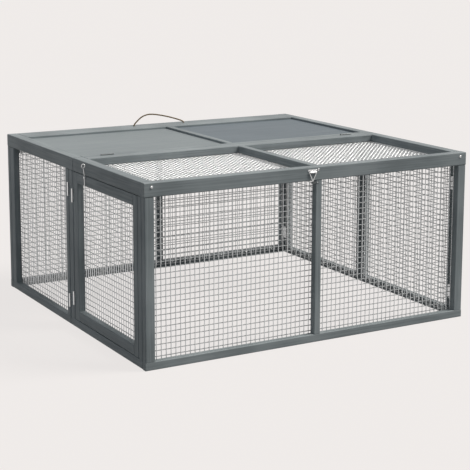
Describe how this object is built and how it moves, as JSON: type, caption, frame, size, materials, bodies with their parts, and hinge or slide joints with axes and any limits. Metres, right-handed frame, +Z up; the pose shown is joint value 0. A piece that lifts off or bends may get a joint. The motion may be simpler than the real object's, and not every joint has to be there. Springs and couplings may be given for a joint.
{
  "type": "outdoor rabbit run",
  "caption": "Folding outdoor run for rabbits: timber and weld-mesh walls under a flat top with a hinged mesh lid, a shelter roof, a side door and a rope handle",
  "frame": {"origin": "on the ground, under the middle of the run", "axes": "+X to the right along the front wall, +Y from the front wall to the back wall, +Z up"},
  "size_m": [1.068, 1.0108, 0.5385],
  "materials": {
    "painted_wood": "planed softwood with two brushed coats of slate grey exterior paint",
    "wire_mesh": "galvanised welded wire mesh",
    "hardware": "bright zinc-plated steel",
    "rope": "three-strand jute rope"
  },
  "bodies": {
    "back_wall": {"back_bottom_rail": "painted_wood", "back_top_rail": "painted_wood", "back_stiles": "painted_wood", "back_centre_stile": "painted_wood", "back_mesh_left": "wire_mesh", "back_mesh_right": "wire_mesh", "roof_hinge_lower": "hardware", "back_corner_leaves": "hardware"},
    "roof": {"roof_board": "painted_wood", "roof_side_rails": "painted_wood", "roof_front_rail": "painted_wood", "roof_centre_bar": "painted_wood", "roof_panel_left": "painted_wood", "roof_panel_right": "painted_wood", "rope_handle": "rope", "rope_knots": "rope", "roof_hinge_upper": "hardware", "lid_hinge_rear": "hardware"},
    "lid": {"lid_front_rail": "painted_wood", "lid_side_rails": "painted_wood", "lid_back_rail": "painted_wood", "lid_centre_bar": "painted_wood", "lid_mesh_left": "wire_mesh", "lid_mesh_right": "wire_mesh", "lid_screws": "hardware", "lid_eye": "hardware", "latch_plate": "hardware", "lid_hinge_front": "hardware"},
    "latch_bail": {"latch_bail": "hardware"},
    "left_rear": {"left_rear_rail": "painted_wood", "left_rear_stiles": "painted_wood", "left_rear_mesh": "wire_mesh", "left_rear_leaves": "hardware"},
    "left_front": {"left_front_sill": "painted_wood", "left_front_posts": "painted_wood", "left_front_leaves": "hardware", "door_hinge_frame": "hardware"},
    "door": {"door_rails": "painted_wood", "door_stiles": "painted_wood", "door_mesh": "wire_mesh", "door_hook_screw": "hardware", "door_hinge_door": "hardware"},
    "door_hook": {"door_hook": "hardware"},
    "front_wall": {"front_bottom_rail": "painted_wood", "front_stiles": "painted_wood", "front_centre_stile": "painted_wood", "front_mesh_left": "wire_mesh", "front_mesh_right": "wire_mesh", "latch_catch": "hardware", "front_corner_leaves": "hardware"},
    "right_rear": {"right_rear_rail": "painted_wood", "right_rear_stiles": "painted_wood", "right_rear_mesh": "wire_mesh", "right_rear_leaves": "hardware"},
    "right_front": {"right_front_rail": "painted_wood", "right_front_stiles": "painted_wood", "right_front_mesh": "wire_mesh", "right_front_leaves": "hardware"}
  },
  "joints": [
    {"name": "roof_lift", "type": "hinge", "parent": "back_wall", "child": "roof", "pos_m": [0, 0.5028, 0.4785], "axis": [-1, 0, 0], "range_deg": [0, 95]},
    {"name": "lid_lift", "type": "hinge", "parent": "roof", "child": "lid", "pos_m": [0, -0.034, 0.50098], "axis": [-1, 0, 0], "range_deg": [0, 178]},
    {"name": "latch_swing", "type": "hinge", "parent": "lid", "child": "latch_bail", "pos_m": [-0.013, -0.5028, 0.486], "axis": [-1, 0, 0], "range_deg": [0, 90]},
    {"name": "fold", "type": "hinge", "parent": "back_wall", "child": "left_rear", "pos_m": [-0.5022, 0.4772, 0], "axis": [0, 0, 1], "range_deg": [0, 80]},
    {"name": "fold_left_front", "type": "hinge", "parent": "left_rear", "child": "left_front", "pos_m": [-0.5278, 0, 0], "axis": [0, 0, 1], "range_deg": [-160, 0]},
    {"name": "fold_front_wall", "type": "hinge", "parent": "left_front", "child": "front_wall", "pos_m": [-0.5022, -0.4772, 0], "axis": [0, 0, 1], "range_deg": [0, 80]},
    {"name": "fold_right_rear", "type": "hinge", "parent": "back_wall", "child": "right_rear", "pos_m": [0.5022, 0.4772, 0], "axis": [0, 0, 1], "range_deg": [-80, 0]},
    {"name": "fold_right_front", "type": "hinge", "parent": "right_rear", "child": "right_front", "pos_m": [0.5278, 0, 0], "axis": [0, 0, 1], "range_deg": [0, 160]},
    {"name": "door_swing", "type": "hinge", "parent": "left_front", "child": "door", "pos_m": [-0.5278, -0.031, 0], "axis": [0, 0, 1], "range_deg": [-110, 0]},
    {"name": "hook_swing", "type": "hinge", "parent": "door", "child": "door_hook", "pos_m": [-0.5285, -0.124, 0.4565], "axis": [-1, 0, 0], "range_deg": [0, 110]}
  ],
  "couplings": [
    {"joint": "fold_left_front", "follows": "fold", "ratio": -2},
    {"joint": "fold_front_wall", "follows": "fold", "ratio": 1},
    {"joint": "fold_right_rear", "follows": "fold", "ratio": -1},
    {"joint": "fold_right_front", "follows": "fold", "ratio": 2}
  ]
}
